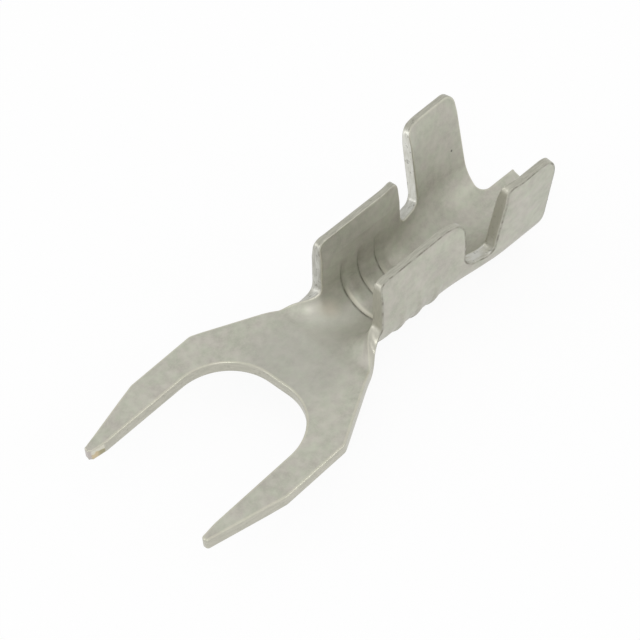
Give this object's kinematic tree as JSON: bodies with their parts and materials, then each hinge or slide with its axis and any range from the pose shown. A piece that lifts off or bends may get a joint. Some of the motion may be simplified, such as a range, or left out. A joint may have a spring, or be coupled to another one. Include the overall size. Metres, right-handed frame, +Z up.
{
  "type": "fork terminal",
  "caption": "Open-barrel crimp fork terminal folded from tin-plated brass sheet, with a stud slot, a grooved conductor barrel and insulation grip wings.",
  "frame": {"origin": "stud axis at the closed end of the slot, on the fork's underside", "axes": "+X along the part from the tips to the barrel, +Z up out of the fork's top face"},
  "size_m": [0.0204, 0.0076, 0.0053],
  "materials": {
    "tin_plate": "satin tin plating over brass"
  },
  "bodies": {
    "root": {"fork_terminal": "tin_plate"}
  },
  "joints": []
}
